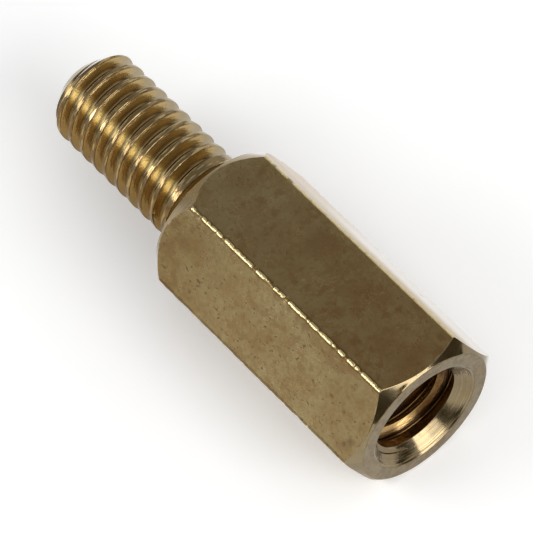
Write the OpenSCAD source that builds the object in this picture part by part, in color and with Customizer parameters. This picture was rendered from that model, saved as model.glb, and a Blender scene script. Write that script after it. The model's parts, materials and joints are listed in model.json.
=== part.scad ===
// Male-female hex standoff, turned from drawn hexagonal brass bar.
//
// One solid: a hexagonal body with a stud at one end and a tapped blind hole at the other.
// The part lies on one of its flats, as it comes to rest on a bench, with its axis along X:
// the stud points to -X and the tapped hole opens to +X.
// The origin is under the middle of the part, on the surface that it lies on.
// The stud is drawn at its thread's outer diameter, and the hole at its tapping drill's diameter.

/* [Hexagonal body] */
// Width across the flats of the bar
across_flats = 6.2; // [5.8:0.1:8]
// Length of the body, from the shoulder to the tapped end's face
body_len = 12; // [11:0.5:40]
// Radius of the drawn bar's corners
corner_radius = 0.2; // [0.05:0.05:0.4]

/* [Turned ends] */
// Step in from the flats to the rim of the tapped end's face
face_inset = 0.03; // [0.01:0.01:0.3]
// Slope of the chamfer round the tapped end's face, from the axis
face_slope = 48; // [25:1:60]
// Step in from the flats to the rim of the shoulder
shoulder_inset = 0.1; // [0.01:0.01:0.3]
// Slope of the chamfer round the shoulder, from the axis
shoulder_slope = 33; // [25:1:60]

/* [Stud] */
// Length of the stud, from the shoulder to its tip
stud_len = 8; // [4:0.5:20]
// Outer diameter of the stud's thread
stud_d = 3.97; // [3.8:0.01:4.1]
// Diameter of the flat at the tip
tip_d = 2.5; // [1.5:0.1:3]
// Slope of the lead chamfer at the tip, from the axis
lead_slope = 48; // [30:1:60]
// Diameter of the relief groove beside the shoulder
relief_d = 3.15; // [2.9:0.05:3.4]
// Width of the relief groove at its mouth
relief_w = 0.7; // [0.7:0.05:1.2]
// Slope of the relief groove's outer side, from the axis
relief_slope = 45; // [40:1:60]
// Radius of the fillet between the relief groove and the shoulder
root_fillet = 0.15; // [0.05:0.05:0.25]

/* [Tapped hole] */
// Diameter of the tapping drill
tap_drill_d = 3.3; // [2.5:0.05:3.6]
// Depth of the hole's full diameter, from the end face
hole_depth = 8.5; // [4:0.5:9]
// Full angle of the drill's point
drill_point = 118; // [90:1:140]
// Diameter of the countersink at the end face
countersink_d = 4.9; // [4:0.1:5.4]
// Full angle of the countersink
countersink_angle = 90; // [60:1:120]

/* [Hidden] */
$fn = 96;
eps = 0.5;
flat_r = across_flats / 2;
corner_r = flat_r / cos(30);
// Angle at which the corner arcs cross the flats
arc_angle = 12;
// Distance of the corner arcs' centres from the sharp corners, and from the axis
set_back = corner_radius * cos(arc_angle) / sin(60);
centre_r = corner_r - set_back;
// Distance from the axis to the straight cuts that the arcs cover, which end inside them
trim_r = corner_r - set_back * pow(cos(60), 2);
stud_r = stud_d / 2;
relief_r = relief_d / 2;
drill_r = tap_drill_d / 2;
sink_r = countersink_d / 2;
brass = [0.74, 0.60, 0.36];

// Length along the axis of a turned slope between two radii.
function slope_len(r1, r2, slope) = abs(r2 - r1) / tan(slope);

// Bar's section: six flats, one of them towards +X, with an arc over each corner.
// Each arc's centre is set back a little, so that it crosses both flats at a small angle.
module bar_section() {
    intersection() {
        rotate([0, 0, 30])
            circle(r = corner_r, $fn = 6);
        union() {
            circle(r = trim_r / cos(30), $fn = 6);
            for (i = [0:5])
                rotate([0, 0, 60 * i + 30])
                    translate([centre_r, 0])
                        circle(r = corner_radius);
        }
    }
}

// Space inside both ends' chamfer cones, as one turned solid on the body's axis.
// The cones cut the bar's corners away and meet its flats in scalloped arcs.
module chamfer_envelope() {
    past = corner_r + 1;
    face_r = flat_r - face_inset;
    shoulder_r = flat_r - shoulder_inset;
    rotate_extrude()
        polygon([
            [0, 0],
            [shoulder_r, 0],
            [past, slope_len(shoulder_r, past, shoulder_slope)],
            [past, body_len - slope_len(face_r, past, face_slope)],
            [face_r, body_len],
            [0, body_len]
        ]);
}

// Hexagonal body, standing on its shoulder.
module body() {
    intersection() {
        linear_extrude(height = body_len)
            bar_section();
        chamfer_envelope();
    }
}

// Stud below the shoulder, with its lead chamfer, its relief groove and the fillet at its root.
// It runs on into the body, so that the two are one solid.
module stud() {
    fillet_r = relief_r + root_fillet;
    rotate_extrude()
        difference() {
            polygon([
                [0, -stud_len],
                [tip_d / 2, -stud_len],
                [stud_r, -stud_len + slope_len(tip_d / 2, stud_r, lead_slope)],
                [stud_r, -relief_w],
                [relief_r, -relief_w + slope_len(relief_r, stud_r, relief_slope)],
                [relief_r, -root_fillet],
                [fillet_r, -root_fillet],
                [fillet_r, eps],
                [0, eps]
            ]);
            translate([fillet_r, -root_fillet])
                circle(r = root_fillet);
        }
}

// Blind hole from the tapped end: countersink, tapping drill and drill point.
module tapped_hole() {
    sink_depth = slope_len(drill_r, sink_r, countersink_angle / 2);
    point_depth = slope_len(0, drill_r, drill_point / 2);
    translate([0, 0, body_len])
        rotate_extrude()
            polygon([
                [0, eps],
                [sink_r + eps * tan(countersink_angle / 2), eps],
                [drill_r, -sink_depth],
                [drill_r, -hole_depth],
                [0, -hole_depth - point_depth]
            ]);
}

// The whole part, laid on a flat and centred over the origin.
module standoff() {
    color(brass)
        translate([(stud_len - body_len) / 2, 0, flat_r])
            rotate([0, 90, 0])
                difference() {
                    union() {
                        body();
                        stud();
                    }
                    tapped_hole();
                }
}

standoff();
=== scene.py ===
# Brass male-female hex standoff: threads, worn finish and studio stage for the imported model.
import json
import math
from collections import namedtuple

import bpy
from bpy.props import FloatProperty, FloatVectorProperty, IntProperty, PointerProperty
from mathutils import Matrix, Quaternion, Vector, noise


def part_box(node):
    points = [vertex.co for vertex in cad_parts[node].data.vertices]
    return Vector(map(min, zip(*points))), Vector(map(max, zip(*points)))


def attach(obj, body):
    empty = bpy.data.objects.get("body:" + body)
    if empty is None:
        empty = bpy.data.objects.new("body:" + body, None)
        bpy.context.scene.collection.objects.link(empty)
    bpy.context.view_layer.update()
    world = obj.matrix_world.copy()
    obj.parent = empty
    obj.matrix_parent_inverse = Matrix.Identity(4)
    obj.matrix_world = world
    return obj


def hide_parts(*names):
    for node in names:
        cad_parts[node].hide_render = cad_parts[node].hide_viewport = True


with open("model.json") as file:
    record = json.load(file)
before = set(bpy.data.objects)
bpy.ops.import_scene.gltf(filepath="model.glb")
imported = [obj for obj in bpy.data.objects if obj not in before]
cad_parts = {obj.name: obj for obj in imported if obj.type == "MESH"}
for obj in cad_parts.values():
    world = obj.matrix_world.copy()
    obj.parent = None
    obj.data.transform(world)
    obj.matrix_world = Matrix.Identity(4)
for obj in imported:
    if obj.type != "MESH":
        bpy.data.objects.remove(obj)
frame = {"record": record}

bl_info = {
    "name": "Brass hex standoff",
    "version": (1, 0, 0),
    "blender": (4, 5, 0),
    "location": "3D Viewport > Sidebar > Standoff",
    "description": "A turned brass standoff with cut threads, and a pale stage to see it on",
    "category": "Object",
}

MM = 0.001
PIECE = "brass_standoff"
MOUNTS = {mount["name"]: mount for mount in frame["record"]["mounts"]}
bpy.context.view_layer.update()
LOW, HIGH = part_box("standoff")

# Places along the part's axis, which runs along X at this height
AXIS_Z = MOUNTS["stud"]["pos_m"][2]
TIP_X = LOW.x
SHOULDER_X = MOUNTS["shoulder"]["pos_m"][0]
FACE_X = HIGH.x
FLAT_R = (HIGH.z - LOW.z) / 2
STUD_R = MOUNTS["stud"]["dims"]["r_mm"] * MM
DRILL_R = MOUNTS["tapped_hole"]["dims"]["r_mm"] * MM
SINK_BOTTOM_X = MOUNTS["tapped_hole"]["pos_m"][0]
HOLE_BOTTOM_X = SINK_BOTTOM_X - MOUNTS["tapped_hole"]["dims"]["length_mm"] * MM

# Points of a thread closer than this become one
WELD = 0.001 * MM
# How fine the cutter's marks on the stud's thread are, in waves to a millimetre
CHATTER_SCALE = 3.5
# How far past a rounding a point holds the side beside it flat
HOLD = 0.02 * MM
# Lengths of the knocks in the bar's corners and of the nicks in the face's rim, in millimetres
KNOCK_LENGTH = 0.26
NICK_LENGTH = 0.24

# Distance from the axis at which the bar's flats end and its corners start, in millimetres
FLAT_EDGE_OUT = 3.533
# Shares of a turn about the axis: the corner between the top flat and the far one, and the top
FAR_CORNER = 0.1667
STRAIGHT_UP = 0.25

# Tints that the brass is multiplied with in places
# The next two paint shade: on the top flat, and on the other flats beside the shoulder
TOP_SHADE_TINT = (0.9, 0.79, 0.69)
SHOULDER_SHADE_TINT = (0.8, 0.755, 0.67)
# The next two paint shade: past the far corner near the shoulder, and beside the near corners
WARM_SHADE_TINT = (0.8, 0.71, 0.6)
BORDER_SHADE_TINT = (0.58, 0.56, 0.52)
# The next two paint a reflection on the flat beside the far corner
FADING_REFLECTION_TINT = (0.8, 0.75, 0.68)
GOLDEN_REFLECTION_TINT = (0.78, 0.67, 0.4)
FACE_TINT = (0.72, 0.65, 0.56)
# painted shade on the small cone inside the hole's mouth
STEP_SHADE_TINT = (0.24, 0.165, 0.11)
# painted shade on the stud's near side
NEAR_SIDE_SHADE_TINT = (0.66, 0.58, 0.44)

# Material slots of the piece
DRAWN, TURNED, THREADED = range(3)

# One corner of a turned profile: where it is, how far it is rounded back along its sides,
# how many parts the span after it is cut in, and that span's material slot
Corner = namedtuple("Corner", "x r rounding parts slot")

# Dents in the flats, counted from the top one: where along and across, half their length and width,
# their turn in degrees and their depth, in millimetres
DENTS = {
    0: [
        (1.5, 0.78, 0.42, 0.07, 62, 0.012),
        (4.9, -0.35, 0.5, 0.09, 40, 0.008),
        (6.3, 0.9, 0.24, 0.1, -30, 0.012),
    ],
    1: [
        (9.35, 0.95, 0.26, 0.16, 20, 0.05),
        (9.05, 1.2, 0.3, 0.09, -35, 0.02),
        (8.9, 0.2, 0.14, 0.1, 0, 0.03),
        (7.3, 0.75, 0.12, 0.09, 60, 0.025),
        (-0.6, -1.2, 0.16, 0.1, 30, 0.02),
        (2.2, -0.3, 0.35, 0.08, 70, 0.01),
        (4.2, 1.1, 0.14, 0.09, 15, 0.02),
    ],
    3: [(3.1, 0.4, 0.3, 0.12, 25, 0.02)],
    5: [(6.4, -0.5, 0.25, 0.12, -40, 0.02)],
}

# Stains on the flats: the flat, where along and across and the radius, in millimetres, and how strong
BROWN_STAINS = [
    (0, 3.2, -0.8, 0.95, 0.7),
    (0, 5.9, -0.55, 0.6, 0.75),
    (0, 5.9, 0.8, 0.4, 0.8),
    (0, 9.0, 0.0, 1.0, 0.5),
    (0, 8.2, 0.45, 0.5, 0.6),
    (0, -0.9, -0.3, 0.7, 0.45),
    (1, -1.3, 0.3, 0.45, 0.8),
    (1, -0.8, 0.7, 0.35, 0.6),
    (1, -0.7, 1.75, 0.6, 1.0),
    (1, -0.8, -0.4, 0.5, 0.7),
    (1, 0.1, -0.7, 0.6, 0.5),
    (1, 8.6, 0.05, 0.14, 1.0),
    (1, 9.2, 1.1, 0.6, 0.8),
    (3, 2.0, 0.5, 0.8, 0.5),
    (4, 6.5, -0.4, 0.9, 0.5),
    (5, 1.0, 0.2, 0.8, 0.5),
]
DARK_STAINS = [
    (1, 9.42, 0.86, 0.27, 1.0),
    (1, 9.2, 1.12, 0.12, 0.9),
    (1, 8.62, 0.05, 0.07, 0.8),
    (1, 7.9, 0.8, 0.07, 0.9),
    (1, -1.55, -1.3, 0.09, 0.8),
    (4, 3.0, 0.9, 0.09, 0.8),
]


# ---------------------------------------------------------------- sizes and colours

def length(name, description, millimetres):
    return FloatProperty(
        name=name,
        description=description,
        default=millimetres * MM,
        min=0.0,
        precision=5,
        subtype="DISTANCE",
        unit="LENGTH",
    )


def slope(name, description, degrees):
    return FloatProperty(
        name=name,
        description=description,
        default=math.radians(degrees),
        min=0.0,
        max=math.pi,
        subtype="ANGLE",
        unit="ROTATION",
    )


def colour(name, description, value):
    return FloatVectorProperty(
        name=name, description=description, default=value, size=3, min=0.0, max=1.0, subtype="COLOR"
    )


class StandoffSizes(bpy.types.PropertyGroup):
    corner_radius: length("Corner radius", "Rounding across the middle of the bar's corners", 0.2)
    corner_ends: length("Corner ends", "Tighter rounding where the corners meet the flats", 0.13)
    corner_knock: length("Corner knock", "Depth of the knocks along the bar's corners", 0.042)
    edge_break: length("Edge break", "How far the turned edges are rounded back", 0.03)
    scallop_break: length("Scallop break", "How far the chamfers' edges at the flats are rounded back", 0.014)
    rim_break: length("Rim break", "How far the rim of the tapped end's face is rounded back", 0.04)
    rim_nicks: length("Rim nicks", "Depth of the nicks in that rim", 0.022)
    face_inset: length("Face inset", "Step in from the flats to the rim of the tapped end's face", 0.1)
    face_slope: slope("Face slope", "Slope of the tapped end's chamfer, from the axis", 51.5)
    shoulder_inset: length("Shoulder inset", "Step in from the flats to the shoulder's rim", 0.1)
    shoulder_slope: slope("Shoulder slope", "Slope of the shoulder's chamfer, from the axis", 33)
    sink_radius: length("Countersink radius", "Radius of the countersink at the face", 2.45)
    sink_break: length("Countersink break", "Width of the narrow bevel at the countersink's rim", 0.07)
    sink_step: length("Countersink step", "Height of the small step inside that bevel", 0.02)
    mouth_radius: length("Mouth radius", "Radius of the hole where the thread starts", 1.9)
    mouth_depth: length("Mouth depth", "Depth from the face at which that wider mouth ends", 0.95)
    drill_point: slope("Drill point", "Full angle of the drill's point", 118)
    tip_radius: length("Tip radius", "Radius of the flat at the stud's tip", 1.25)
    lead_slope: slope("Lead slope", "Slope of the stud's lead chamfer, from the axis", 48)
    relief_radius: length("Relief radius", "Radius of the groove beside the shoulder", 1.575)
    relief_width: length("Relief width", "Width of that groove at its mouth", 0.72)
    relief_slope: slope("Relief slope", "Slope of that groove's outer side, from the axis", 45)
    root_fillet: length("Root fillet", "Fillet between the groove and the shoulder", 0.15)


class ThreadSizes(bpy.types.PropertyGroup):
    pitch: length("Pitch", "Distance between the thread's turns", 0.7)
    flank: slope("Flank", "Slope of the thread's flanks, from square to the axis", 30)
    crest_width: length("Crest width", "Width of the stud's thread at its crest", 0.17)
    crest_break: length("Crest break", "How far the crest's edges are rounded back", 0.028)
    root_break: length("Root break", "How far the root is rounded back up the flanks", 0.22)
    first_crest: length("First crest", "Distance of a crest from the shoulder, level with the axis", 0.482)
    full_until: length("Full until", "Distance from the shoulder at which the groove starts to run out", 1.25)
    gone_at: length("Gone at", "Distance from the shoulder at which the groove has run out", 0.9)
    tap_crest_width: length("Tap crest width", "Width of the tapped thread's groove at its bottom", 0.1)
    tap_start: length("Tap start", "Height above the hole's floor where the tap's end stands", 0.33)
    tap_clearance: length("Tap clearance", "How much further out the tapped thread reaches", 0.1)
    chatter: length("Chatter", "Height of the cutter's marks on the stud's thread", 0.006)
    samples: IntProperty(name="Samples", description="Points round one turn", default=128, min=24)


class BrassColours(bpy.types.PropertyGroup):
    clean: colour("Clean", "Freshly cut brass", (0.72, 0.575, 0.29))
    film: colour("Film", "Brass under its dull film", (0.355, 0.280, 0.138))
    stain: colour("Stain", "Darker tarnish", (0.285, 0.196, 0.086))
    turned: colour("Turned", "Dull turned cones", (0.212, 0.169, 0.103))
    ring: colour("Ring", "The tapped end's greyer face", (0.228, 0.184, 0.109))
    shoulder: colour("Shoulder", "The yellower shoulder and tip", (0.31, 0.232, 0.122))
    golden: colour("Golden", "Flanks of the stud's thread", (0.51, 0.36, 0.15))
    # painted shade: the darker brass in the thread's roots
    root: colour("Root", "Dull bottom of the stud's thread", (0.18, 0.122, 0.052))
    bore: colour("Bore", "Brown brass inside the hole", (0.48, 0.31, 0.13))
    mouth: colour("Mouth", "Darker brass at the hole's mouth", (0.34, 0.20, 0.085))
    band: colour("Band", "Golden groove beside the shoulder", (0.50, 0.34, 0.14))
    # painted highlight: paler brass along the side of the stud where the left softbox's glints fall
    pale: colour("Pale", "Paler brass along one side of the stud", (0.60, 0.50, 0.285))
    # painted reflection: greyer brass along the far side, where it mirrors the pale room
    olive: colour("Olive", "Greyer brass along the stud's far side", (0.37, 0.32, 0.215))
    pits: colour("Pits", "Dirt in the pits", (0.17, 0.108, 0.05))
    blotch: colour("Blotch", "Brown blotches in the film", (0.25, 0.155, 0.066))
    crest: colour("Crest", "Worn crests of the stud's thread", (0.26, 0.180, 0.088))
    # painted sheen: the pale colour the brass takes at a glancing view
    glancing: colour("Glancing", "The dull film seen at a glancing angle", (0.92, 0.885, 0.835))


# ---------------------------------------------------------------- building with nodes

def add(tree, kind, inputs=None, **settings):
    """A new node with its settings, and its inputs linked or set by name or number."""
    node = tree.nodes.new(kind)
    for key, value in settings.items():
        setattr(node, key, value)
    for key, value in (inputs or {}).items():
        if isinstance(value, bpy.types.NodeSocket):
            tree.links.new(value, node.inputs[key])
        else:
            node.inputs[key].default_value = value
    return node


def maths(tree, operation, *values, **settings):
    """The result of a Math node on sockets or numbers."""
    return add(tree, "ShaderNodeMath", dict(enumerate(values)), operation=operation, **settings).outputs[0]


def times(tree, first, *others):
    """The product of sockets or numbers."""
    for other in others:
        first = maths(tree, "MULTIPLY", first, other)
    return first


def whole(tree, operation, *values):
    """The result of an Integer Math node on sockets or whole numbers."""
    return add(tree, "FunctionNodeIntegerMath", dict(enumerate(values)), operation=operation).outputs[0]


def measured(tree, operation, *vectors):
    """The number that a Vector Math node makes from vectors, such as a length or a distance."""
    return add(tree, "ShaderNodeVectorMath", dict(enumerate(vectors)), operation=operation).outputs["Value"]


def vector_of(tree, **parts):
    """A vector from its X, Y and Z."""
    return add(tree, "ShaderNodeCombineXYZ", parts).outputs[0]


def parts_of(tree, vector):
    """The X, Y and Z of a vector."""
    return add(tree, "ShaderNodeSeparateXYZ", {0: vector}).outputs


def new_group(kind, name, inputs, outputs):
    """An empty node group, each of its sockets named and given a default number or its kind.

    Returns the tree, its input sockets and its output node.
    """
    tree = bpy.data.node_groups.new(name, kind)
    number_kinds = {float: "Float", int: "Int"}
    for way, sockets in (("INPUT", inputs), ("OUTPUT", outputs)):
        for label, value in sockets.items():
            socket_type = "NodeSocket" + number_kinds.get(type(value), value)
            made = tree.interface.new_socket(label, in_out=way, socket_type=socket_type)
            if type(value) in number_kinds:
                made.default_value = value
    return tree, tree.nodes.new("NodeGroupInput").outputs, tree.nodes.new("NodeGroupOutput")


def ramped(tree, value, low, high, to_low=0.0, to_high=1.0):
    """A smooth step of a value from low to high."""
    inputs = {"Value": value, "From Min": low, "From Max": high, "To Min": to_low, "To Max": to_high}
    return add(tree, "ShaderNodeMapRange", inputs, interpolation_type="SMOOTHSTEP").outputs["Result"]


def noise_of(tree, place, scale, detail=2.0, roughness=0.5, seed=0.0):
    """Noise at a place in millimetres."""
    inputs = {"Vector": place, "W": seed, "Scale": scale, "Detail": detail, "Roughness": roughness}
    return add(tree, "ShaderNodeTexNoise", inputs, noise_dimensions="4D").outputs["Fac"]


def set_inputs(modifier, values):
    """Sets a Geometry Nodes modifier's inputs by their sockets' identifiers."""
    for item in modifier.node_group.interface.items_tree:
        if item.item_type == "SOCKET" and item.in_out == "INPUT" and item.name in values:
            modifier[item.identifier] = values[item.name]


# ---------------------------------------------------------------- threads

def thread_tree():
    """Sweeps one tooth's profile along a helix about the part's axis, and closes it to a solid rod.

    The profile's points give X along the axis and Z from it. A groove whose middle lies between the
    run-out places rises by the run-out lift, within the inner and outer radius.
    """
    inputs = {
        "Profile": "Geometry",
        "Pitch": 0.7 * MM,
        "Turns": 10,
        "Samples": 128,
        "Start": 0.0,
        "Axis Height": 0.0,
        "Inner Radius": 0.0,
        "Outer Radius": 2 * MM,
        "Run-out From": 0.0,
        "Run-out To": 1 * MM,
        "Run-out Lift": 0.0,
        "Chatter": 0.0,
        "Material": "Material",
    }
    tree, given, out = new_group("GeometryNodeTree", "Screw thread", inputs, {"Geometry": "Geometry"})
    pitch, start, height = given["Pitch"], given["Start"], given["Axis Height"]

    def moved(geometry, place, **selection):
        inputs = {"Geometry": geometry, "Position": place, **selection}
        return add(tree, "GeometryNodeSetPosition", inputs).outputs[0]

    def welded(geometry):
        inputs = {"Geometry": geometry, "Distance": WELD}
        return add(tree, "GeometryNodeMergeByDistance", inputs).outputs[0]

    # a grid with one column of points for each sample round a turn, and every tooth along it
    size = add(tree, "GeometryNodeAttributeDomainSize", {"Geometry": given["Profile"]}, component="MESH")
    steps = size.outputs["Point Count"]
    column_size = whole(tree, "ADD", whole(tree, "MULTIPLY", given["Turns"], steps), 1)
    columns = whole(tree, "ADD", given["Samples"], 1)
    grid = add(tree, "GeometryNodeMeshGrid", {"Vertices X": columns, "Vertices Y": column_size})

    # the tooth, the step on its profile and the share of a turn of each point
    index = add(tree, "GeometryNodeInputIndex").outputs[0]
    row = whole(tree, "MODULO", index, column_size)
    tooth = whole(tree, "DIVIDE_FLOOR", row, steps)
    turn = maths(tree, "DIVIDE", whole(tree, "DIVIDE_FLOOR", index, column_size), given["Samples"])
    position = add(tree, "GeometryNodeInputPosition").outputs[0]
    profile = add(
        tree,
        "GeometryNodeSampleIndex",
        {"Geometry": given["Profile"], "Value": position, "Index": whole(tree, "MODULO", row, steps)},
        data_type="FLOAT_VECTOR",
    )
    on_profile = parts_of(tree, profile.outputs[0])

    # along the axis, and out from it with the run-out
    crest_x = maths(tree, "MULTIPLY_ADD", maths(tree, "ADD", tooth, turn), pitch, start)
    x = maths(tree, "ADD", crest_x, on_profile["X"])
    groove_x = maths(tree, "MULTIPLY_ADD", pitch, 0.5, crest_x)
    run_out = given["Run-out From"], given["Run-out To"], 0.0, given["Run-out Lift"]
    lifted = maths(tree, "ADD", on_profile["Z"], ramped(tree, groove_x, *run_out))
    inside = maths(tree, "MINIMUM", lifted, given["Outer Radius"])
    smooth_r = maths(tree, "MAXIMUM", inside, given["Inner Radius"])

    # the cutter's marks: a small fixed noise inwards
    angle = times(tree, turn, math.tau)
    cosine = maths(tree, "COSINE", angle)
    sine = maths(tree, "SINE", angle)
    place = vector_of(tree, X=x, Y=times(tree, smooth_r, cosine), Z=times(tree, smooth_r, sine))
    marks = noise_of(tree, place, CHATTER_SCALE / MM, seed=3.0)
    r = maths(tree, "SUBTRACT", smooth_r, times(tree, marks, given["Chatter"]))
    point = vector_of(tree, X=x, Y=times(tree, r, cosine), Z=maths(tree, "MULTIPLY_ADD", r, sine, height))
    joined = welded(moved(grid.outputs["Mesh"], point))

    # each open end is drawn in to one point on the axis, half a turn past it
    faces_beside = add(tree, "GeometryNodeInputMeshEdgeNeighbors").outputs["Face Count"]
    rim = add(tree, "FunctionNodeCompare", {2: faces_beside, 3: 1}, data_type="INT", operation="EQUAL")
    edges = {"Mesh": joined, "Selection": rim.outputs[0], "Offset Scale": 0.0}
    ends = add(tree, "GeometryNodeExtrudeMesh", edges, mode="EDGES").outputs
    rod_length = times(tree, pitch, maths(tree, "ADD", given["Turns"], 1.0))
    middle_x = maths(tree, "MULTIPLY_ADD", rod_length, 0.5, start)
    here_x = parts_of(tree, position)["X"]
    side = maths(tree, "SIGN", maths(tree, "SUBTRACT", here_x, middle_x))
    reach = maths(tree, "MULTIPLY_ADD", rod_length, 0.5, times(tree, pitch, 0.5))
    end_x = maths(tree, "MULTIPLY_ADD", side, reach, middle_x)
    closed = welded(moved(ends["Mesh"], vector_of(tree, X=end_x, Z=height), Selection=ends["Top"]))
    real = add(tree, "GeometryNodeRealizeInstances", {"Geometry": closed}).outputs[0]
    finished = add(tree, "GeometryNodeSetMaterial", {"Geometry": real, "Material": given["Material"]})
    tree.links.new(finished.outputs[0], out.inputs[0])
    return tree


def softened(corners, steps=3, hold=0.0):
    """Points of a profile, its corners rounded back along both sides, and the slot of each span.

    A hold puts one more point that far past each rounding, which keeps the sides beside it flat.
    """
    points, slots = [], []
    for i, corner in enumerate(corners):
        here = Vector((corner.x, corner.r))
        arc = [here]
        if corner.rounding:
            before = Vector(corners[i - 1][:2]) - here
            after = Vector(corners[i + 1][:2]) - here
            back = min(corner.rounding, 0.4 * before.length, 0.4 * after.length)
            start = here + before.normalized() * back
            end = here + after.normalized() * back
            ways = [k / steps for k in range(steps + 1)]
            arc = [start.lerp(here, t).lerp(here.lerp(end, t), t) for t in ways]
            if hold:
                before_it = here + before.normalized() * (back + min(hold, 0.05 * before.length))
                past_it = here + after.normalized() * (back + min(hold, 0.05 * after.length))
                arc = [before_it, *arc, past_it]
        if points:
            last, parts = points[-1], corners[i - 1].parts
            points += [last.lerp(arc[0], k / parts) for k in range(1, parts)]
            slots += [corners[i - 1].slot] * parts
        held = 1 if len(arc) > 1 and hold else 0
        points += arc
        slots += [corners[i - 1].slot] * held + [corner.slot] * (len(arc) - 1 - held)
    return points, slots


def stud_tooth(thread):
    """The stud's thread over one pitch, from crest middle to crest middle, without the last point."""
    half_gap = (thread.pitch - thread.crest_width) / 2
    root_r = STUD_R - half_gap / math.tan(thread.flank)
    crest_edge = thread.crest_width / 2
    corners = [
        Corner(0, STUD_R, 0, 1, THREADED),
        Corner(crest_edge, STUD_R, thread.crest_break, 2, THREADED),
        Corner(thread.pitch / 2, root_r, thread.root_break, 2, THREADED),
        Corner(thread.pitch - crest_edge, STUD_R, thread.crest_break, 1, THREADED),
        Corner(thread.pitch, STUD_R, 0, 1, THREADED),
    ]
    return softened(corners, steps=4)[0][:-1]


def tap_tooth(thread, inner_r, outer_r):
    """The tap's thread over one pitch, from gap middle to gap middle, without the last point."""
    middle = thread.pitch / 2
    crest_edge = thread.tap_crest_width / 2
    foot = crest_edge + (outer_r - inner_r) * math.tan(thread.flank)
    corners = [
        Corner(0, inner_r, 0, 1, THREADED),
        Corner(middle - foot, inner_r, 0, 3, THREADED),
        Corner(middle - crest_edge, outer_r, thread.crest_break, 1, THREADED),
        Corner(middle + crest_edge, outer_r, thread.crest_break, 3, THREADED),
        Corner(middle + foot, inner_r, 0, 1, THREADED),
        Corner(thread.pitch, inner_r, 0, 1, THREADED),
    ]
    return softened(corners)[0][:-1]


def thread_rod(name, profile, materials, thread, values):
    """A closed rod with a thread round it, as a plain mesh."""
    mesh = bpy.data.meshes.new(name)
    mesh.from_pydata([(p.x, 0, p.y) for p in profile], [], [])
    rod = bpy.data.objects.new(name, mesh)
    bpy.context.scene.collection.objects.link(rod)
    sweep = rod.modifiers.new("Screw thread", "NODES")
    sweep.node_group = bpy.data.node_groups.get("Screw thread") or thread_tree()
    shared = {"Pitch": thread.pitch, "Samples": thread.samples, "Axis Height": AXIS_Z}
    set_inputs(sweep, {**shared, **values, "Material": materials[THREADED]})
    settle(rod)
    rod.data.materials.clear()
    give_slots(rod.data, materials, [THREADED] * len(rod.data.polygons))
    return rod


# ---------------------------------------------------------------- meshes

def settle(piece):
    """Turns what a piece's modifiers make into its plain mesh."""
    evaluated = piece.evaluated_get(bpy.context.evaluated_depsgraph_get())
    made = bpy.data.meshes.new_from_object(evaluated)
    piece.modifiers.clear()
    piece.data = made


def give_slots(mesh, materials, face_slots):
    """Gives a mesh its materials, and each face its slot."""
    for material in materials:
        mesh.materials.append(material)
    mesh.polygons.foreach_set("material_index", face_slots)


def combine(piece, tool, operation):
    """Joins a tool to a piece, or cuts the piece with it, and removes the tool."""
    change = piece.modifiers.new(operation, "BOOLEAN")
    change.operation = operation
    change.solver = "MANIFOLD"
    change.material_mode = "TRANSFER"
    change.object = tool
    settle(piece)
    bpy.data.objects.remove(tool)


def turned_solid(name, rays, profile_at, materials):
    """A closed skin about the axis. Each ray is an angle and the outline's radius there."""
    columns = []
    for angle, outline in rays:
        points, slots = softened(profile_at(outline), hold=HOLD)
        column = [Vector((p.x, p.y * math.cos(angle), AXIS_Z + p.y * math.sin(angle))) for p in points]
        columns.append(column)
    inner = len(columns[0]) - 2
    vertices = [columns[0][0], columns[0][-1]] + [v for column in columns for v in column[1:-1]]
    faces, face_slots = [], []
    for j in range(len(columns)):
        here = 2 + j * inner
        after = 2 + (j + 1) % len(columns) * inner
        faces.append((0, after, here))
        face_slots.append(slots[0])
        for i in range(inner - 1):
            faces.append((here + i, after + i, after + i + 1, here + i + 1))
            face_slots.append(slots[i + 1])
        faces.append((here + inner - 1, after + inner - 1, 1))
        face_slots.append(slots[-1])
    mesh = bpy.data.meshes.new(name)
    mesh.from_pydata(vertices, [], faces)
    give_slots(mesh, materials, face_slots)
    piece = bpy.data.objects.new(name, mesh)
    bpy.context.scene.collection.objects.link(piece)
    return piece


def round_rays(count):
    return [(math.tau * k / count, 0.0) for k in range(count)]


def bar_rays(middle_radius, end_radius, across=26):
    """Angle and radius of points round the bar's section: along each flat, then over the corner after it.

    A corner turns through 60 degrees, the middle half of it on the larger radius.
    """
    tilt = math.radians(15)
    spread = middle_radius - end_radius
    centre = (FLAT_R - end_radius - spread * math.cos(tilt)) / math.cos(math.radians(30))
    half_flat = centre / 2 + spread * math.sin(tilt)
    rays = []
    for side in range(6):
        normal = math.radians(90 + 60 * side)
        # one column close to each edge holds the flat's shading flat
        held = half_flat - 0.03 * MM
        stops = [-half_flat, *(held * (2 * k / across - 1) for k in range(across + 1))]
        for along in stops:
            rays.append((normal + math.atan2(along, FLAT_R), math.hypot(along, FLAT_R)))
        corner = normal + math.radians(30)
        for degrees in (-30, -22, -15, -9, -3, 3, 9, 15, 22):
            turn = math.radians(degrees)
            radius = middle_radius if abs(degrees) < 15 else end_radius
            past = 0 if abs(degrees) < 15 else math.copysign(tilt, turn)
            shift = 0 if abs(degrees) < 15 else spread
            y = centre + shift * math.cos(past) + radius * math.cos(turn)
            z = shift * math.sin(past) + radius * math.sin(turn)
            rays.append((corner + math.atan2(z, y), math.hypot(y, z)))
    return rays


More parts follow.
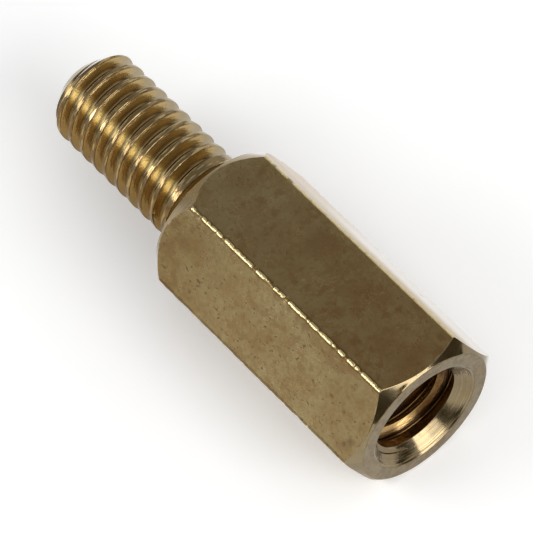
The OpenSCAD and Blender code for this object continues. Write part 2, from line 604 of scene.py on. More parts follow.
def blank_profile(sizes, outline):
    """The body with its chamfers and its drilled and countersunk hole, at one radius of its outline."""
    face_r = FLAT_R - sizes.face_inset
    shoulder_r = FLAT_R - sizes.shoulder_inset
    shoulder_cut = (outline - shoulder_r) / math.tan(sizes.shoulder_slope)
    face_cut = (outline - face_r) / math.tan(sizes.face_slope)
    point_x = HOLE_BOTTOM_X - DRILL_R / math.tan(sizes.drill_point / 2)
    soft = sizes.edge_break
    bevel, step = sizes.sink_break, sizes.sink_step
    mouth_x = FACE_X - (sizes.sink_radius - sizes.mouth_radius)
    step_x = FACE_X - sizes.mouth_depth
    return [
        Corner(SHOULDER_X, 0, 0, 2, TURNED),
        Corner(SHOULDER_X, shoulder_r, soft, 3, TURNED),
        Corner(SHOULDER_X + shoulder_cut, outline, sizes.scallop_break, 160, DRAWN),
        Corner(FACE_X - face_cut, outline, sizes.scallop_break, 3, TURNED),
        Corner(FACE_X, face_r, sizes.rim_break, 2, TURNED),
        Corner(FACE_X, sizes.sink_radius, 0.3 * soft, 1, TURNED),
        Corner(FACE_X - bevel, sizes.sink_radius - bevel, 0, 1, TURNED),
        Corner(FACE_X - bevel, sizes.sink_radius - bevel - step, 0, 1, TURNED),
        Corner(FACE_X - bevel - 3 * step, sizes.sink_radius - bevel - 3 * step, 0, 6, TURNED),
        Corner(mouth_x, sizes.mouth_radius, 0.3 * soft, 3, THREADED),
        Corner(step_x, sizes.mouth_radius, 0, 2, THREADED),
        Corner(step_x - (sizes.mouth_radius - DRILL_R), DRILL_R, 0, 6, THREADED),
        Corner(HOLE_BOTTOM_X, DRILL_R, 0, 2, TURNED),
        Corner(point_x, 0, 0, 1, TURNED),
    ]


def eased(value, low, high):
    """A smooth step of a value from low to high."""
    share = min(max((value - low) / (high - low), 0), 1)
    return share * share * (3 - 2 * share)


def dented(here, across):
    """How deep the listed dents are at a place along a flat."""
    deepest = 0
    for x, middle, half_length, half_width, turned, depth in here:
        u, v = across[0] - x * MM, across[1] - middle * MM
        cosine, sine = math.cos(math.radians(turned)), math.sin(math.radians(turned))
        along = (u * cosine + v * sine) / (half_length * MM)
        beside = (v * cosine - u * sine) / (half_width * MM)
        off = along * along + beside * beside
        if off < 1:
            deepest = max(deepest, depth * MM * (1 - off) ** 2)
    return deepest


def wear(mesh, sizes):
    """Presses knocks into the bar's corners, nicks into the face's rim and the listed dents into the flats.

    The far corner has smaller knocks, and hardly any toward the tapped end.
    """
    for vertex in mesh.vertices:
        x, y, z = vertex.co.x, vertex.co.y, vertex.co.z - AXIS_Z
        out = math.hypot(y, z)
        if out < FLAT_R - 0.2 * MM:
            continue
        turn = math.degrees(math.atan2(z, y))
        side = round((turn - 90) / 60)
        normal = math.radians(90 + 60 * side)
        across = z * math.cos(normal) - y * math.sin(normal)
        corner = math.floor((turn - 90) / 60)
        # each corner has knocks of its own
        at = Vector((x / MM / KNOCK_LENGTH, corner * 9.1, turn * 0.06))
        knock = eased(noise.noise(at), 0.0, 0.7) + 0.45 * eased(noise.noise(at * 2.9), 0.1, 0.6)
        knock *= eased(out, FLAT_R + 0.37 * MM, FLAT_R + 0.44 * MM) * sizes.corner_knock
        if abs(turn - 360 * FAR_CORNER) < 15:
            knock *= 0.5 - 0.35 * eased(x, 0, 3 * MM)
        dent = dented(DENTS.get(side % 6, ()), (x, across))
        rim = eased(x, FACE_X - 0.1 * MM, FACE_X - 0.02 * MM)
        rim *= eased(out, FLAT_R - 0.12 * MM, FLAT_R - 0.05 * MM)
        nick = eased(noise.noise(Vector((y, z, 4 * MM)) / MM / NICK_LENGTH), 0.0, 0.6)
        vertex.co.x -= nick * rim * sizes.rim_nicks
        vertex.co.y -= dent * math.cos(normal) + knock * y / out
        vertex.co.z -= dent * math.sin(normal) + knock * z / out


def stud_profile(sizes):
    """What bounds the stud's thread: its tip, its lead chamfer, its relief groove and its root."""
    past = STUD_R + 0.1 * MM
    root_r = sizes.relief_radius + sizes.root_fillet
    into = SHOULDER_X + 0.5 * MM
    lead_x = TIP_X + (past - sizes.tip_radius) / math.tan(sizes.lead_slope)
    groove_x = SHOULDER_X - sizes.relief_width
    groove_rise = math.tan(sizes.relief_slope)
    neck_x = groove_x + (STUD_R - sizes.relief_radius) / groove_rise
    return [
        Corner(TIP_X, 0, 0, 3, TURNED),
        Corner(TIP_X, sizes.tip_radius, sizes.edge_break * 2, 4, TURNED),
        Corner(lead_x, past, 0, 4, THREADED),
        Corner(groove_x - (past - STUD_R) / groove_rise, past, 0, 3, THREADED),
        Corner(neck_x, sizes.relief_radius, 0.06 * MM, 2, THREADED),
        Corner(SHOULDER_X, sizes.relief_radius, sizes.root_fillet, 1, THREADED),
        Corner(SHOULDER_X, root_r, 0, 1, THREADED),
        Corner(into, root_r, 0, 1, THREADED),
        Corner(into, 0, 0, 1, THREADED),
    ]


# ---------------------------------------------------------------- finishes

def shared_group(name, inputs, outputs, build):
    """A shader node group, built the first time that it is asked for.

    The build function gets the tree and its inputs, and returns what goes to each output.
    """
    tree = bpy.data.node_groups.get(name)
    if tree is None:
        tree, given, out = new_group("ShaderNodeTree", name, inputs, outputs)
        for label, socket in build(tree, given).items():
            tree.links.new(socket, out.inputs[label])
    return tree


def use_group(tree, group, inputs):
    """The outputs of a group placed in a material with its own values."""
    return add(tree, "ShaderNodeGroup", inputs, node_tree=group).outputs


def stretched(tree, place, amounts, turn=(0, 0, 0)):
    """A place turned and then stretched, for a pattern that runs one way."""
    about = {"Vector": place, "Rotation": turn}
    turned = add(tree, "ShaderNodeVectorRotate", about, rotation_type="EULER_XYZ").outputs[0]
    return add(tree, "ShaderNodeVectorMath", {0: turned, 1: amounts}, operation="MULTIPLY").outputs[0]


def blended(tree, share, under, over, mode="MIX"):
    """A colour over another by a share. Each colour is a socket or three numbers."""
    inputs = {"Factor": share}
    for side, value in (("A", under), ("B", over)):
        inputs[side] = value if isinstance(value, bpy.types.NodeSocket) else (*value, 1)
    return add(tree, "ShaderNodeMix", inputs, data_type="RGBA", blend_type=mode).outputs["Result"]


def tinted(tree, share, under, tint):
    """A colour darkened by a tint, by a share."""
    return blended(tree, share, under, tint, "MULTIPLY")


def about_the_axis():
    """Where a point is on the part: its place, how far along, out and up it is in millimetres, and its turn.

    The turn is a share of a whole one. It is 0 toward +Y, 0.25 straight up and 0.5 toward -Y.
    """
    def build(tree, given):
        to_axis = {0: given["Object"], 1: (0, 0, -AXIS_Z)}
        from_axis = add(tree, "ShaderNodeVectorMath", to_axis, operation="ADD").outputs[0]
        scaled = {0: from_axis, "Scale": 1 / MM}
        place = add(tree, "ShaderNodeVectorMath", scaled, operation="SCALE").outputs[0]
        part = parts_of(tree, place)
        square = maths(tree, "MULTIPLY_ADD", part["Z"], part["Z"], times(tree, part["Y"], part["Y"]))
        turn = maths(tree, "ARCTAN2", part["Z"], part["Y"])
        return {
            "Place": place,
            "Along": part["X"],
            "Out": maths(tree, "SQRT", square),
            "Turn": maths(tree, "DIVIDE", turn, math.tau),
            "Up": part["Z"],
        }

    outputs = {"Place": "Vector", "Along": "Float", "Out": "Float", "Turn": "Float", "Up": "Float"}
    return shared_group("About the axis", {"Object": "Vector"}, outputs, build)


def tarnish():
    """Cloudy tarnish, brown blotches, and small dark specks in the surface."""
    def build(tree, given):
        place, seed = given["Place"], given["Seed"]
        cloud_scale, speck_scale = given["Cloud Scale"], given["Speck Scale"]
        blot_seed, region_seed, swarm_seed, speck_seed = [
            maths(tree, "ADD", seed, later) for later in (3.0, 4.0, 5.0, 9.0)
        ]
        clouds = noise_of(tree, place, cloud_scale, detail=4.0, roughness=0.62, seed=seed)
        fine = noise_of(tree, place, times(tree, cloud_scale, 7.0), detail=3.0, seed=seed)
        film = maths(tree, "MULTIPLY_ADD", fine, 0.4, times(tree, clouds, 0.6))
        blots = noise_of(tree, place, times(tree, cloud_scale, 3.0), seed=blot_seed)
        regions = noise_of(tree, place, times(tree, cloud_scale, 0.4), seed=region_seed)
        blots = maths(tree, "MULTIPLY_ADD", regions, 0.5, blots)

        # specks lie in loose swarms and are a little longer one way
        swarms = noise_of(tree, place, times(tree, speck_scale, 0.16), seed=swarm_seed)
        long_place = stretched(tree, place, (0.5, 1, 1), (0.2, 0.1, 0.35))
        spots = noise_of(tree, long_place, speck_scale, detail=1.5, seed=speck_seed)
        chance = maths(tree, "MULTIPLY_ADD", swarms, 0.28, spots)
        over = maths(tree, "SUBTRACT", chance, given["Speck Threshold"])
        return {
            "Film": ramped(tree, film, 0.36, 0.64),
            "Blotches": ramped(tree, blots, 0.78, 0.94),
            "Specks": ramped(tree, over, 0.0, 0.07),
        }

    inputs = {"Place": "Vector", "Seed": 0.0, "Cloud Scale": 0.9, "Speck Scale": 9.0, "Speck Threshold": 0.85}
    outputs = dict.fromkeys(("Film", "Blotches", "Specks"), "Float")
    return shared_group("Tarnish", inputs, outputs, build)


def stains():
    """The listed stains: brown ones and dark ones, with ragged edges."""
    def build(tree, given):
        ragged = noise_of(tree, given["Place"], 2.2, detail=4.0, roughness=0.65, seed=12.0)
        masks = {}
        for label, listed in (("Brown", BROWN_STAINS), ("Dark", DARK_STAINS)):
            total = 0.0
            for side, x, across, radius, strength in listed:
                normal = math.radians(90 + 60 * side)
                flat = FLAT_R / MM
                y = flat * math.cos(normal) - across * math.sin(normal)
                z = flat * math.sin(normal) + across * math.cos(normal)
                away = measured(tree, "DISTANCE", given["Place"], (x, y, z))
                edge = maths(tree, "MULTIPLY_ADD", ragged, 1.8 * radius, away)
                spot = ramped(tree, edge, 2.1 * radius, 1.1 * radius, 0.0, strength)
                total = maths(tree, "MAXIMUM", spot, total)
            masks[label] = total
        return masks

    return shared_group("Stains", {"Place": "Vector"}, {"Brown": "Float", "Dark": "Float"}, build)


def scratches():
    """Hairline scratches in two directions."""
    def build(tree, given):
        lines = []
        ways = [(1.0, (0.3, 0.2, 0.5), (0.35, 9, 9)), (4.0, (0.1, -0.4, -0.9), (0.3, 12, 12))]
        for seed, turn, stretch in ways:
            place = stretched(tree, given["Place"], stretch, turn)
            wave = noise_of(tree, place, 1.0, detail=1.0, seed=maths(tree, "ADD", given["Seed"], seed))
            off = maths(tree, "ABSOLUTE", maths(tree, "SUBTRACT", wave, 0.5))
            thin = ramped(tree, off, given["Width"], 0.0)
            gate = noise_of(tree, given["Place"], 0.9, seed=maths(tree, "ADD", given["Seed"], seed + 2.0))
            lines.append(times(tree, thin, ramped(tree, gate, 0.5, 0.62)))
        return {"Scratches": maths(tree, "MAXIMUM", *lines)}

    inputs = {"Place": "Vector", "Seed": 0.0, "Width": 0.012}
    return shared_group("Scratches", inputs, {"Scratches": "Float"}, build)


def turning_marks():
    """Fine rings that a lathe tool leaves, by how far along and out a point is."""
    def build(tree, given):
        step = maths(tree, "MULTIPLY_ADD", given["Out"], 0.8, given["Along"])
        wobble = noise_of(tree, given["Place"], 0.5, seed=7.0)
        x = maths(tree, "MULTIPLY_ADD", wobble, 0.15, step)
        line = vector_of(tree, X=x, Y=times(tree, given["Turn"], 0.06))
        return {"Rings": noise_of(tree, line, given["Rings"], detail=3.0, roughness=0.75, seed=2.0)}

    inputs = {"Place": "Vector", "Along": 0.0, "Out": 0.0, "Turn": 0.0, "Rings": 14.0}
    return shared_group("Turning marks", inputs, {"Rings": "Float"}, build)


def bumped(tree, height, distance, normal=None):
    """The normal under a height, by its distance in millimetres."""
    inputs = {"Height": height, "Distance": distance * MM}
    if normal is not None:
        inputs["Normal"] = normal
    return add(tree, "ShaderNodeBump", inputs).outputs[0]


def brass_material(name, tarnish_values):
    """A metal material: itself, its tree, its shader, where its points are, and its tarnish."""
    material = bpy.data.materials.new(name)
    material.use_nodes = True
    tree = material.node_tree
    shader = tree.nodes["Principled BSDF"]
    shader.inputs["Metallic"].default_value = 1.0
    spot = use_group(tree, about_the_axis(), {"Object": add(tree, "ShaderNodeTexCoord").outputs["Object"]})
    dull = use_group(tree, tarnish(), {"Place": spot["Place"], **tarnish_values})
    return material, tree, shader, spot, dull


def glancing(tree, surface, colours, low=0.76, high=0.93, most=1.0):
    """A painted sheen: a colour that pales toward a glancing view, standing in for the pale room that the
    metal mirrors there.
    """
    facing = add(tree, "ShaderNodeLayerWeight", {"Blend": 0.5}).outputs["Facing"]
    return blended(tree, ramped(tree, facing, low, high, 0.0, most), surface, colours.glancing)


def beside_the_chamfers(tree, spot, sizes):
    """Thin bands of the bar's surface beside both ends' chamfers."""
    bands = []
    for end_x, way, inset, rise in (
        (SHOULDER_X, 1, sizes.shoulder_inset, sizes.shoulder_slope),
        (FACE_X, -1, sizes.face_inset, sizes.face_slope),
    ):
        steep = way / math.tan(rise)
        edge = maths(tree, "MULTIPLY_ADD", spot["Out"], steep, (end_x - (FLAT_R - inset) * steep) / MM)
        off = maths(tree, "ABSOLUTE", maths(tree, "SUBTRACT", spot["Along"], edge))
        bands.append(ramped(tree, off, 0.075, 0.02))
    return maths(tree, "MAXIMUM", *bands)


def rubbed_places(tree, spot, sizes):
    """Where the bar is rubbed bright: its corners, in beads on the near side, and chips at the chamfers."""
    along_grain = stretched(tree, spot["Place"], (1.0, 0.3, 0.3))
    beads = ramped(tree, noise_of(tree, along_grain, 4.6, seed=23.0), 0.3, 0.38)
    even = ramped(tree, spot["Turn"], STRAIGHT_UP, STRAIGHT_UP - 0.05, 0.0, 0.7)
    higher = ramped(tree, spot["Up"], 0.4, 1.6, 0.1, 1.0)
    on_corner = ramped(tree, spot["Out"], FLAT_EDGE_OUT, FLAT_EDGE_OUT + 0.01)
    corner = times(tree, on_corner, higher, maths(tree, "MAXIMUM", beads, even))
    chips = ramped(tree, noise_of(tree, spot["Place"], 3.2, seed=15.0), 0.48, 0.62, 0.0, 0.45)
    return maths(tree, "MAXIMUM", corner, times(tree, beside_the_chamfers(tree, spot, sizes), chips))


def film_colour(tree, spot, dull, colours):
    """The dull film on the bar, with its tarnish, stains and specks, and the painted shade, painted sheen and
    painted reflection that differ from flat to flat.
    """
    along, turn = spot["Along"], spot["Turn"]
    spots = use_group(tree, stains(), {"Place": spot["Place"]})
    film = blended(tree, dull["Film"], colours.film, colours.stain)
    brown = maths(tree, "MAXIMUM", times(tree, dull["Blotches"], 0.75), spots["Brown"])
    film = blended(tree, times(tree, brown, 0.8), film, colours.blotch)

    # painted shade: the top flat is painted browner and darker, more so toward the tapped end, and the other
    # flats are painted darker beside the shoulder
    top = ramped(tree, spot["Up"], 2.7, 3.05)
    film = tinted(tree, times(tree, top, ramped(tree, along, -4.0, 10.0, 0.15, 1.0)), film, TOP_SHADE_TINT)
    not_top = maths(tree, "SUBTRACT", 1.0, top)
    film = tinted(tree, times(tree, not_top, ramped(tree, along, 3.0, -1.5, 0.3, 1.0)), film, SHOULDER_SHADE_TINT)
    specks = times(tree, dull["Specks"], ramped(tree, top, 0.0, 1.0, 1.0, 0.5))
    film = blended(tree, maths(tree, "MAXIMUM", specks, spots["Dark"]), film, colours.pits)
    film = glancing(tree, film, colours)

    # painted shade: warmer and darker past the far corner near the shoulder, and dark beside the near corners
    warm_shade = times(tree, ramped(tree, turn, 0.15, 0.1), ramped(tree, along, 4.0, -0.5))
    film = tinted(tree, warm_shade, film, WARM_SHADE_TINT)
    border_shade = ramped(tree, spot["Out"], FLAT_EDGE_OUT - 0.043, FLAT_EDGE_OUT - 0.008)
    border_shade = times(tree, border_shade, ramped(tree, turn, STRAIGHT_UP - 0.05, STRAIGHT_UP))
    film = tinted(tree, border_shade, film, BORDER_SHADE_TINT)

    # painted reflection: a golden band beside the far corner, which fades out across the flat past it
    past = ramped(tree, turn, FAR_CORNER + 0.0018, FAR_CORNER - 0.0012)
    film = tinted(tree, times(tree, ramped(tree, turn, 0.08, 0.118), past), film, FADING_REFLECTION_TINT)
    golden_reflection = times(tree, ramped(tree, turn, 0.115, 0.142), past, ramped(tree, along, -1.0, 6.0, 0.6, 1.0))
    return tinted(tree, golden_reflection, film, GOLDEN_REFLECTION_TINT)


def drawn_brass(colours, sizes):
    """The bar's flats and corners as drawn: a dull film with painted shade, painted sheen and painted
    reflection, specks, faint draw lines, rubbed corners.
    """
    values = {"Seed": 1.0, "Speck Threshold": 0.757}
    material, tree, shader, spot, dull = brass_material("Drawn brass", values)
    place = spot["Place"]
    lines = use_group(tree, scratches(), {"Place": place, "Seed": 3.0})["Scratches"]
    rubbed = rubbed_places(tree, spot, sizes)
    film = film_colour(tree, spot, dull, colours)
    clean = maths(tree, "MAXIMUM", rubbed, times(tree, lines, 0.35))
    tree.links.new(blended(tree, clean, film, colours.clean), shader.inputs["Base Color"])

    rough = maths(tree, "MULTIPLY_ADD", dull["Film"], 0.06, 0.3)
    rough = maths(tree, "SUBTRACT", rough, times(tree, rubbed, 0.22))
    tree.links.new(rough, shader.inputs["Roughness"])
    normal = bumped(tree, noise_of(tree, stretched(tree, place, (0.05, 1, 1)), 14.0, seed=4.0), 0.001)
    knocks = noise_of(tree, place, 9.0, detail=3.0, roughness=0.7, seed=6.0)
    normal = bumped(tree, times(tree, knocks, rubbed), 0.02, normal)
    pits = maths(tree, "SUBTRACT", times(tree, lines, 0.3), dull["Specks"])
    tree.links.new(bumped(tree, pits, 0.004, normal), shader.inputs["Normal"])
    return material


def turned_brass(colours):
    """Turned faces: greyer at the tapped end, yellower at the shoulder, with fine rings round the axis."""
    values = {"Seed": 5.0, "Cloud Scale": 1.2, "Speck Threshold": 0.8}
    material, tree, shader, spot, dull = brass_material("Turned brass", values)
    where = {label: spot[label] for label in ("Place", "Along", "Out", "Turn")}
    rings = use_group(tree, turning_marks(), {**where, "Rings": 11.0})["Rings"]
    tapped = ramped(tree, spot["Along"], 0.0, 4.0)
    face = ramped(tree, spot["Along"], FACE_X / MM - 0.03, FACE_X / MM - 0.01)
    surface = blended(tree, tapped, colours.shoulder, colours.turned)
    surface = blended(tree, face, surface, colours.ring)
    off_face = ramped(tree, face, 0.0, 1.0, 0.3, 0.0)
    surface = blended(tree, times(tree, dull["Film"], off_face), surface, colours.stain)
    cloudy = noise_of(tree, spot["Place"], 4.5, detail=4.0, roughness=0.7, seed=21.0)
    surface = tinted(tree, times(tree, ramped(tree, cloudy, 0.42, 0.6), face), surface, FACE_TINT)

    # bright rings on the cones, fainter on the face and at the shoulder, then grime and a painted glancing
    # sheen
    plain = maths(tree, "MAXIMUM", face, maths(tree, "SUBTRACT", 1.0, tapped))
    bright = times(tree, ramped(tree, rings, 0.4, 0.7, 0.0, 0.2), ramped(tree, plain, 1.0, 0.0, 0.2, 1.0))
    surface = blended(tree, bright, surface, colours.clean)
    grime = maths(tree, "MAXIMUM", dull["Specks"], dull["Blotches"])
    grime = times(tree, grime, ramped(tree, spot["Along"], 0.0, 4.0, 0.15, 0.55))
    surface = glancing(tree, blended(tree, grime, surface, colours.blotch), colours)
    tree.links.new(surface, shader.inputs["Base Color"])
    tree.links.new(ramped(tree, face, 0.0, 1.0, 0.12, 0.3), shader.inputs["Roughness"])
    tree.links.new(bumped(tree, rings, 0.011), shader.inputs["Normal"])
    return material


def stud_colour(tree, spot, masks, colours, sizes):
    """The stud's thread: roots darkened with painted shade, golden flanks, worn crests with bright cuts, a
    golden groove, a painted highlight paler along its lit side and a painted reflection greyer along its far
    side.
    """
    groove_x = (SHOULDER_X - sizes.relief_width) / MM
    # painted shade darkens the roots, a painted highlight pales the lit side and a painted reflection greys
    # the far side
    pale_lit_side = times(tree, ramped(tree, masks["near"], 0.05, 0.4), ramped(tree, masks["near"], 1.0, 0.7))
    cuts = times(tree, masks["crest"], ramped(tree, masks["streaks"], 0.53, 0.6, 0.0, 0.8))
    surface = blended(tree, ramped(tree, spot["Out"], 1.64, 1.76), colours.root, colours.golden)
    for share, colour_over in (
        (pale_lit_side, colours.pale),
        (ramped(tree, spot["Along"], groove_x - 0.06, groove_x), colours.band),
        (masks["crest"], colours.crest),
        (cuts, colours.clean),
        (ramped(tree, masks["far"], 0.25, 0.9, 0.0, 0.8), colours.olive),
    ):
        surface = blended(tree, share, surface, colour_over)
    return surface


def bore_colour(tree, spot, masks, colours, sizes, surface):
    """The hole's brown thread, its darker mouth and the cone outside it, over the stud's colour."""
    along, turn = spot["Along"], spot["Turn"]
    mouth_x = (FACE_X - sizes.mouth_depth) / MM
    drill_x = mouth_x - (sizes.mouth_radius - DRILL_R) / MM
    surface = blended(tree, masks["inside"], surface, colours.bore)
    surface = blended(tree, ramped(tree, along, mouth_x - 0.15, mouth_x + 0.05), surface, colours.mouth)

    # painted shade darkens the small cone between the mouth and the drilled bore, but for a part low on its
    # near side
    step = ramped(tree, along, drill_x - 0.1, drill_x)
    step = times(tree, step, ramped(tree, along, mouth_x + 0.07, mouth_x + 0.01))
    unlit = maths(tree, "MAXIMUM", ramped(tree, turn, -0.215, -0.185), ramped(tree, turn, -0.27, -0.295))
    surface = tinted(tree, times(tree, step, unlit), surface, STEP_SHADE_TINT)
    cone = ramped(tree, along, FACE_X / MM - 0.6, FACE_X / MM - 0.54)
    return blended(tree, cone, surface, colours.turned)


def threaded_brass(colours, sizes):
    """Cut threads: golden with worn crests on the stud, brown in the hole, and streaked along the helix, with
    painted shade on the stud's near side and a painted glancing sheen.
    """
    values = {"Seed": 8.0, "Cloud Scale": 1.5, "Speck Threshold": 0.84}
    material, tree, shader, spot, dull = brass_material("Threaded brass", values)
    part = parts_of(tree, spot["Place"])
    along_helix = maths(tree, "MULTIPLY_ADD", spot["Turn"], -0.7, spot["Along"])
    streak = vector_of(tree, X=along_helix, Y=times(tree, spot["Turn"], 1.7), Z=spot["Out"])
    inside = ramped(tree, spot["Along"], -1.0, 1.0)
    outside = maths(tree, "SUBTRACT", 1.0, inside)
    crest = ramped(tree, spot["Out"], (STUD_R - 0.05 * MM) / MM, (STUD_R - 0.02 * MM) / MM)
    masks = {
        "near": maths(tree, "MULTIPLY_ADD", part["Z"], -0.4, times(tree, part["Y"], -1.0)),
        "far": maths(tree, "MULTIPLY_ADD", part["Z"], -0.4, times(tree, part["Y"], 0.9)),
        "inside": inside,
        "crest": times(tree, crest, outside),
        "streaks": noise_of(tree, streak, 10.0, roughness=0.55, seed=3.0),
    }
    surface = stud_colour(tree, spot, masks, colours, sizes)
    surface = bore_colour(tree, spot, masks, colours, sizes, surface)
    surface = blended(tree, times(tree, dull["Film"], 0.4), surface, colours.stain)
    surface = blended(tree, times(tree, dull["Specks"], 0.7), surface, colours.pits)
    # painted shade, darker on the stud's near side
    near_side_shade = times(tree, outside, ramped(tree, masks["near"], 0.9, 1.6))
    surface = tinted(tree, near_side_shade, surface, NEAR_SIDE_SHADE_TINT)
    surface = glancing(tree, surface, colours, 0.75, 0.98, outside)
    tree.links.new(surface, shader.inputs["Base Color"])

    rough = maths(tree, "MULTIPLY_ADD", masks["crest"], -0.15, 0.23)
    tree.links.new(rough, shader.inputs["Roughness"])
    strength = ramped(tree, inside, 0.0, 1.0, 0.35, 0.7)
    strength = maths(tree, "MULTIPLY_ADD", masks["crest"], 1.3, strength)
    lines = bumped(tree, times(tree, masks["streaks"], strength), 0.018)
    grain = noise_of(tree, spot["Place"], 13.0, seed=11.0)
    grain = times(tree, grain, maths(tree, "SUBTRACT", outside, masks["crest"]))
    tree.links.new(bumped(tree, grain, 0.006, lines), shader.inputs["Normal"])
    return material


def brass_materials(colours, sizes):
    """Drawn, turned and threaded brass, in the order of the slots."""
    return [drawn_brass(colours, sizes), turned_brass(colours), threaded_brass(colours, sizes)]


# ---------------------------------------------------------------- stage

def direction(azimuth, elevation):
    """The way to a place round the part: azimuth 0 is at its front (-Y) and 90 at +X, in degrees."""
    turn, rise = math.radians(azimuth), math.radians(elevation)
    return Vector((math.sin(turn) * math.cos(rise), -math.cos(turn) * math.cos(rise), math.sin(rise)))


# Width of the floor and the distance over which its painted fall-off of light greys it, in metres, and how
# strongly it glows
FLOOR_WIDTH = 6.0
FLOOR_FADE = 0.15
FLOOR_GLOW = 0.16
CARD_COLOUR = (0.14, 0.12, 0.085, 1)
# The camera: what it looks at, the way from there to it, and how far off it is in millimetres.
# Its lens is in millimetres too, and it is turned in degrees.
CAMERA_AIM = Vector((0.8095, 0.0795, 2.6615)) * MM
CAMERA_BACK = direction(52.031, 55.9485)
CAMERA_DISTANCE = 195.338
CAMERA_LENS = 350.366
CAMERA_ROLL = -2.5005


def softbox(name, azimuth, elevation, width, height, radiance, distance=0.35):
    """A plain lit panel that faces the part from that side."""
    data = bpy.data.lights.new(name, "AREA")
    data.shape = "RECTANGLE"
    data.size = width
    data.size_y = height
    data.energy = radiance * math.pi * width * height
    lamp = bpy.data.objects.new(name, data)
    way = direction(azimuth, elevation)
    lamp.location = way * distance
    lamp.rotation_mode = "QUATERNION"
    lamp.rotation_quaternion = way.to_track_quat("Z", "Y")
    bpy.context.scene.collection.objects.link(lamp)


def plain_material(name):
    """A matt material with no gloss: itself, its tree and its shader."""
    material = bpy.data.materials.new(name)
    material.use_nodes = True
    shader = material.node_tree.nodes["Principled BSDF"]
    shader.inputs["Roughness"].default_value = 1.0
    shader.inputs["Specular IOR Level"].default_value = 0.0
    return material, material.node_tree, shader


def dark_cards(ranges, distance=24 * MM, height=10 * MM):
    """Curved dark cards standing round the tapped end between azimuths, which only the metal mirrors."""
    material, _, shader = plain_material("Black card")
    shader.inputs["Base Color"].default_value = CARD_COLOUR
    for name, (start, end) in ranges.items():
        turns = range(start, end + 1, 4)
        foot = [Vector((FACE_X, 0, 0)) + direction(azimuth, 0) * distance for azimuth in turns]
        top = [point + Vector((0, 0, height)) for point in foot]
        count = len(foot)
        mesh = bpy.data.meshes.new(name)
        mesh.from_pydata(foot + top, [], [(i, i + 1, count + i + 1, count + i) for i in range(count - 1)])
        mesh.materials.append(material)
        card = bpy.data.objects.new(name, mesh)
        card.visible_camera = False
        card.visible_diffuse = False
        card.visible_shadow = False
        bpy.context.scene.collection.objects.link(card)


def grey_ramp(tree, value, stops):
    """A soft grey ramp through stops of a place from 0 to 1 and a level."""
    node = add(tree, "ShaderNodeValToRGB", {"Fac": value})
    node.color_ramp.interpolation = "EASE"
    elements = node.color_ramp.elements
    while len(elements) < len(stops):
        elements.new(0.5)
    for element, (place, level) in zip(elements, stops):
        element.position = place
        element.color = (level, level, level, 1)
    return node.outputs["Color"]


def room():
    """A soft even room, with a dark band low on its right walls and one dim part in its ceiling."""
    world = bpy.data.worlds.new("room")
    world.use_nodes = True
    tree = world.node_tree
    way = add(tree, "ShaderNodeTexCoord").outputs["Generated"]
    rise = parts_of(tree, way)["Z"]
    banded = grey_ramp(tree, rise, [(0.0, 0.85), (0.045, 0.85), (0.07, 0.12), (0.28, 0.12), (0.45, 0.85)])
    ahead = measured(tree, "DOT_PRODUCT", way, direction(100, 0))
    walls = blended(tree, ramped(tree, ahead, 0.25, 0.42), (0.7, 0.7, 0.7), banded)
    towards = measured(tree, "DOT_PRODUCT", way, direction(255, 60))
    near, far = math.cos(math.radians(22)), math.cos(math.radians(48))
    light = tree.nodes["Background"]
    tree.links.new(walls, light.inputs["Color"])
    tree.links.new(ramped(tree, towards, far, near, 1.0, 0.52), light.inputs["Strength"])
    return world


def floor_material():
    """White card, greyed away from the part with a painted fall-off of light, that glows a little where it is
    seen or mirrored.
    """
    material, tree, shader = plain_material("White card")
    away = measured(tree, "LENGTH", add(tree, "ShaderNodeTexCoord").outputs["Object"])
    level = grey_ramp(tree, maths(tree, "DIVIDE", away, FLOOR_FADE), [(0.0, 0.95), (0.15, 0.95), (0.5, 0.4)])
    tree.links.new(level, shader.inputs["Base Color"])
    path = add(tree, "ShaderNodeLightPath").outputs
    seen = maths(tree, "ADD", path["Is Camera Ray"], path["Is Glossy Ray"])
    seen = maths(tree, "ADD", seen, path["Is Transmission Ray"], use_clamp=True)
    tree.links.new(level, shader.inputs["Emission Color"])
    tree.links.new(times(tree, seen, FLOOR_GLOW), shader.inputs["Emission Strength"])
    return material


# ---------------------------------------------------------------- operators

def build_threads(scene, materials):
    """The stud's threaded rod, and the rod that cuts the tapped thread."""
    thread = scene.standoff_thread
    half_gap = (thread.pitch - thread.crest_width) / 2
    root_r = STUD_R - half_gap / math.tan(thread.flank)
    turns_out = math.ceil((SHOULDER_X - TIP_X) / thread.pitch) + 1
    stud_values = {
        "Turns": turns_out + 3,
        "Start": SHOULDER_X - thread.first_crest - turns_out * thread.pitch,
        "Inner Radius": root_r,
        "Outer Radius": STUD_R,
        "Run-out From": SHOULDER_X - thread.full_until,
        "Run-out To": SHOULDER_X - thread.gone_at,
        "Run-out Lift": STUD_R - root_r,
        "Chatter": thread.chatter,
    }
    inner_r = DRILL_R - 0.1 * MM
    outer_r = STUD_R + thread.tap_clearance
    start = HOLE_BOTTOM_X + thread.tap_start
    tap_values = {
        "Turns": math.ceil((FACE_X - start) / thread.pitch) + 1,
        "Start": start,
        "Inner Radius": inner_r,
        "Outer Radius": outer_r,
        "Run-out From": start + 3 * thread.pitch,
        "Run-out To": start + thread.pitch,
        "Run-out Lift": inner_r - outer_r,
        "Chatter": 0.0,
    }
    stud = thread_rod("stud_thread", stud_tooth(thread), materials, thread, stud_values)
    tap = thread_rod("tap", tap_tooth(thread, inner_r, outer_r), materials, thread, tap_values)
    return stud, tap


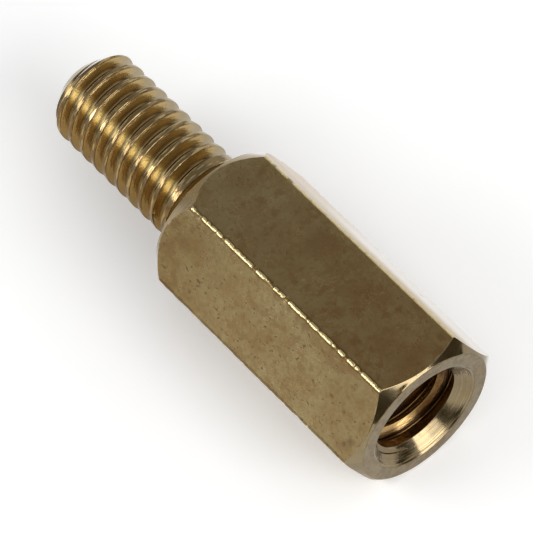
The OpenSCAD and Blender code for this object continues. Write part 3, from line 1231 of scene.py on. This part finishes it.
class STANDOFF_OT_build(bpy.types.Operator):
    """Build the standoff: its hexagonal body, its threaded stud and its tapped hole, as one closed piece"""

    bl_idname = "standoff.build"
    bl_label = "Standoff"

    def execute(self, context):
        scene = context.scene
        sizes = scene.standoff_sizes
        materials = brass_materials(scene.standoff_colours, sizes)
        stud, tap = build_threads(scene, materials)
        envelope = turned_solid("stud_envelope", round_rays(128), lambda _: stud_profile(sizes), materials)
        combine(stud, envelope, "INTERSECT")
        rays = bar_rays(sizes.corner_radius, sizes.corner_ends)
        body = turned_solid(PIECE, rays, lambda outline: blank_profile(sizes, outline), materials)
        wear(body.data, sizes)
        combine(body, stud, "UNION")
        combine(body, tap, "DIFFERENCE")
        body.data.shade_smooth()
        body.data.set_sharp_from_angle(angle=math.radians(30))
        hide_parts("standoff")
        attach(body, "root")
        return {"FINISHED"}


class STANDOFF_OT_stage(bpy.types.Operator):
    """Set the stage: a pale floor, a soft room with three softboxes and two dark cards, and the camera"""

    bl_idname = "standoff.stage"
    bl_label = "Stage"

    def execute(self, context):
        scene = context.scene
        scene.view_settings.view_transform = "Standard"
        half = FLOOR_WIDTH / 2
        floor_mesh = bpy.data.meshes.new("floor")
        corners = [(-half, -half, 0), (half, -half, 0), (half, half, 0), (-half, half, 0)]
        floor_mesh.from_pydata(corners, [], [(0, 1, 2, 3)])
        floor = bpy.data.objects.new("floor", floor_mesh)
        floor_mesh.materials.append(floor_material())
        scene.collection.objects.link(floor)
        softbox("left_softbox", azimuth=-32, elevation=29.5, width=0.2, height=0.107, radiance=4.0)
        softbox("right_softbox", azimuth=93, elevation=28.0, width=0.29, height=0.208, radiance=4.0)
        softbox("low_softbox", azimuth=107, elevation=5.5, width=0.12, height=0.055, radiance=6.5)
        dark_cards({"right_black_card": (20, 96), "back_black_card": (126, 158)})
        scene.world = room()
        data = bpy.data.cameras.new("camera")
        data.lens = CAMERA_LENS
        data.clip_start = 0.01
        data.clip_end = 20.0
        camera = bpy.data.objects.new("camera", data)
        camera.location = CAMERA_AIM + CAMERA_BACK * CAMERA_DISTANCE * MM
        camera.rotation_mode = "QUATERNION"
        level = (-CAMERA_BACK).to_track_quat("-Z", "Y")
        camera.rotation_quaternion = level @ Quaternion((0, 0, 1), math.radians(CAMERA_ROLL))
        scene.collection.objects.link(camera)
        scene.camera = camera
        return {"FINISHED"}


class STANDOFF_PT_parts(bpy.types.Panel):
    """Buttons for the standoff and its stage"""

    bl_idname = "STANDOFF_PT_parts"
    bl_label = "Standoff"
    bl_space_type = "VIEW_3D"
    bl_region_type = "UI"
    bl_category = "Standoff"

    def draw(self, context):
        scene = context.scene
        for settings in (scene.standoff_sizes, scene.standoff_thread, scene.standoff_colours):
            column = self.layout.column()
            for name in settings.__annotations__:
                column.prop(settings, name)
        for operator in (STANDOFF_OT_build, STANDOFF_OT_stage):
            self.layout.operator(operator.bl_idname)


CLASSES = (StandoffSizes, ThreadSizes, BrassColours, STANDOFF_OT_build, STANDOFF_OT_stage, STANDOFF_PT_parts)


def register():
    for cls in CLASSES:
        bpy.utils.register_class(cls)
    bpy.types.Scene.standoff_sizes = PointerProperty(type=StandoffSizes)
    bpy.types.Scene.standoff_thread = PointerProperty(type=ThreadSizes)
    bpy.types.Scene.standoff_colours = PointerProperty(type=BrassColours)


def unregister():
    del bpy.types.Scene.standoff_colours
    del bpy.types.Scene.standoff_thread
    del bpy.types.Scene.standoff_sizes
    for cls in reversed(CLASSES):
        bpy.utils.unregister_class(cls)


def main():
    register()
    bpy.ops.standoff.build()
    bpy.ops.standoff.stage()


if __name__ == "__main__":
    main()
